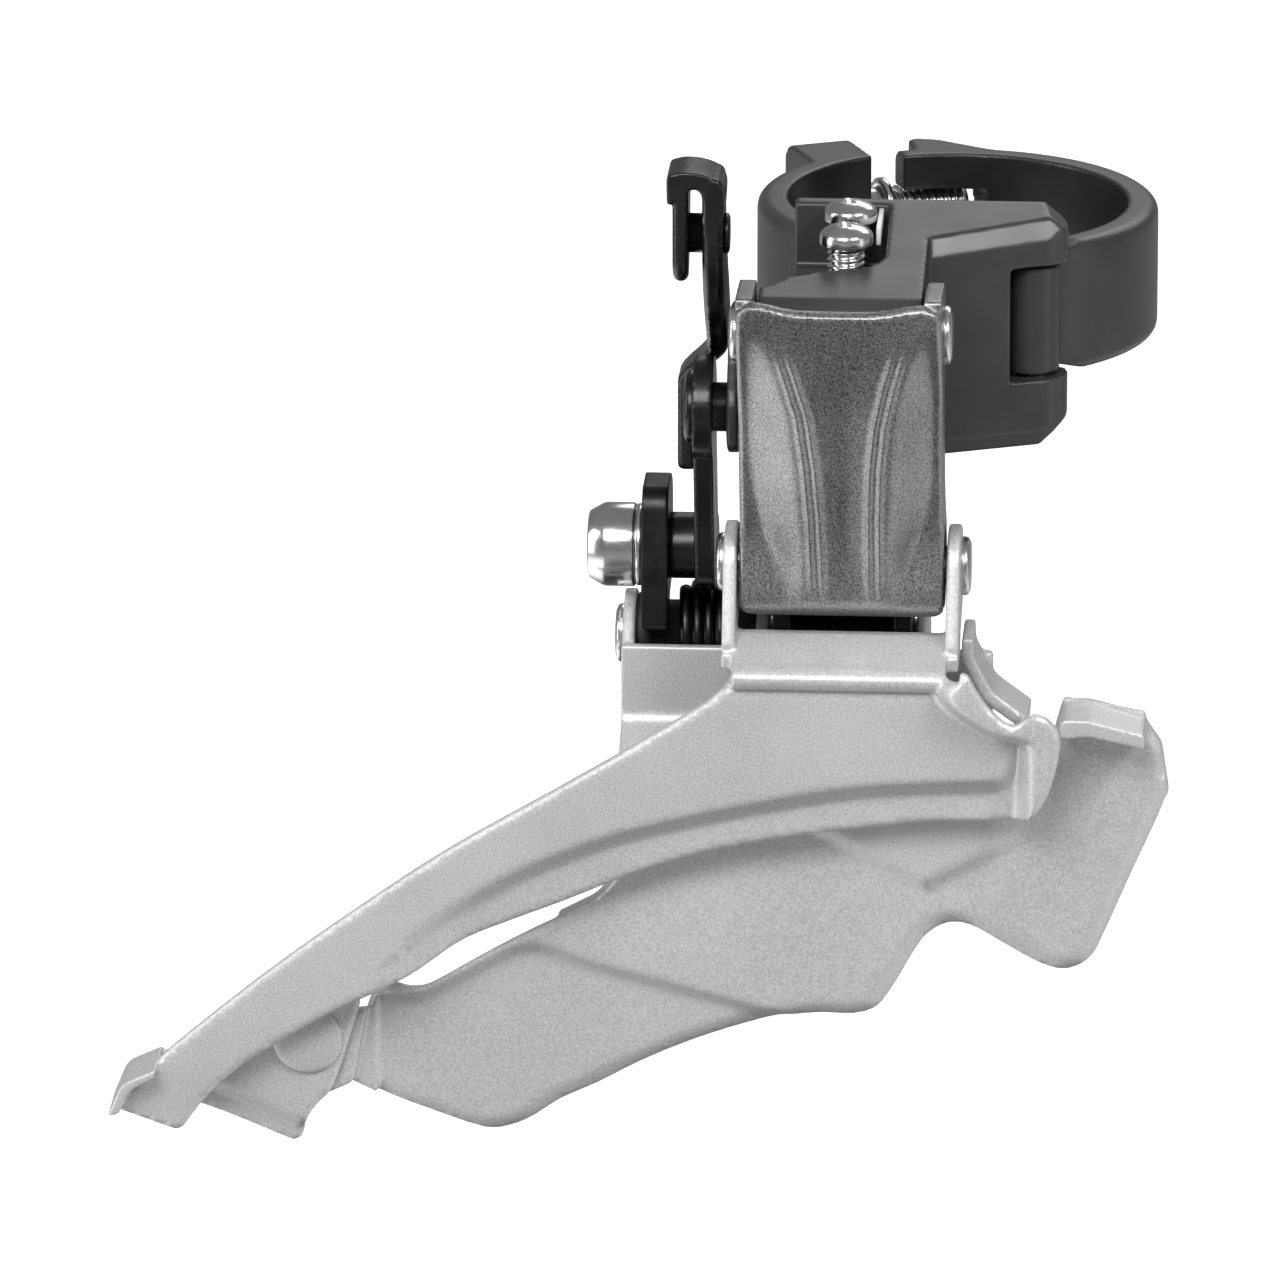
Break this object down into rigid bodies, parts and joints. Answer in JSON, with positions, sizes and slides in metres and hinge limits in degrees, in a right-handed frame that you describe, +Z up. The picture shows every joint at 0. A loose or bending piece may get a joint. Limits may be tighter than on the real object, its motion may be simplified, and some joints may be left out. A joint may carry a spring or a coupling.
{
  "type": "front derailleur",
  "caption": "Bicycle front derailleur: hinged seat tube clamp, sprung parallelogram linkage with cable lever, and a two-plate chain cage.",
  "frame": {"origin": "on the seat tube axis at mid-height of the clamp band", "axes": "+Z up along the seat tube, +X to the front of the bicycle, -Y outboard, away from the bicycle"},
  "size_m": [0.1075, 0.0714, 0.1022],
  "materials": {
    "clamp_black": "satin charcoal black paint",
    "link_grey": "dark grey metallic paint with sparkle",
    "cage_silver": "fine-grained silver metallic paint",
    "lever_black": "semi-gloss black",
    "plate_grey": "dark grey blackened steel",
    "bolt_zinc": "bright zinc plating",
    "pin_steel": "nickel plated",
    "spring_steel": "blackened spring wire",
    "bush_black": "black nylon",
    "nylon": "white nylon"
  },
  "bodies": {
    "bracket": {"clamp_body": "clamp_black", "clamp_hinge_pin": "pin_steel", "clamp_bolt": "bolt_zinc", "bolt_retaining_ring": "bolt_zinc", "screw_friction_plate": "nylon"},
    "clamp_band": {"clamp_band": "clamp_black"},
    "low_limit_screw": {"low_limit_screw": "bolt_zinc"},
    "high_limit_screw": {"high_limit_screw": "bolt_zinc"},
    "outer_link": {"outer_link": "link_grey", "outer_top_pin": "pin_steel"},
    "inner_link": {"inner_link": "lever_black", "cable_lever": "lever_black", "inner_top_pin": "lever_black", "cable_arm": "lever_black", "cable_hook_pin": "lever_black", "cable_bolt": "bolt_zinc", "cable_washer": "bolt_zinc", "cable_plate": "plate_grey"},
    "cage": {"cage_outer_plate": "cage_silver", "cage_inner_plate": "cage_silver", "outer_bottom_pin": "pin_steel", "inner_bottom_pin": "pin_steel", "tail_rivet": "cage_silver", "spring_bush": "bush_black", "return_spring": "spring_steel"}
  },
  "joints": [
    {"name": "band_hinge", "type": "hinge", "parent": "bracket", "child": "clamp_band", "pos_m": [0.0084, -0.0198, 0], "axis": [0, 0, -1], "range_deg": [0, 75]},
    {"name": "low_screw_travel", "type": "slide", "parent": "bracket", "child": "low_limit_screw", "axis": [0, 0, 1], "range_m": [-0.0015, 0.0015]},
    {"name": "high_screw_travel", "type": "slide", "parent": "bracket", "child": "high_limit_screw", "axis": [0, 0, 1], "range_m": [-0.0015, 0.0015]},
    {"name": "shift_swing", "type": "hinge", "parent": "bracket", "child": "outer_link", "pos_m": [0, -0.039, 0.0032], "axis": [-1, 0, 0], "range_deg": [0, 38], "stiffness_Nm_per_rad": 0.6, "springref_deg": -20.05},
    {"name": "inner_link_swing", "type": "hinge", "parent": "bracket", "child": "inner_link", "pos_m": [0, -0.029, -0.0076], "axis": [-1, 0, 0], "range_deg": [0, 38]},
    {"name": "cage_swing", "type": "hinge", "parent": "outer_link", "child": "cage", "pos_m": [0, -0.0315, -0.0232], "axis": [-1, 0, 0], "range_deg": [-38, 0]}
  ],
  "couplings": [
    {"joint": "inner_link_swing", "follows": "shift_swing", "ratio": 1},
    {"joint": "cage_swing", "follows": "shift_swing", "ratio": -1}
  ]
}
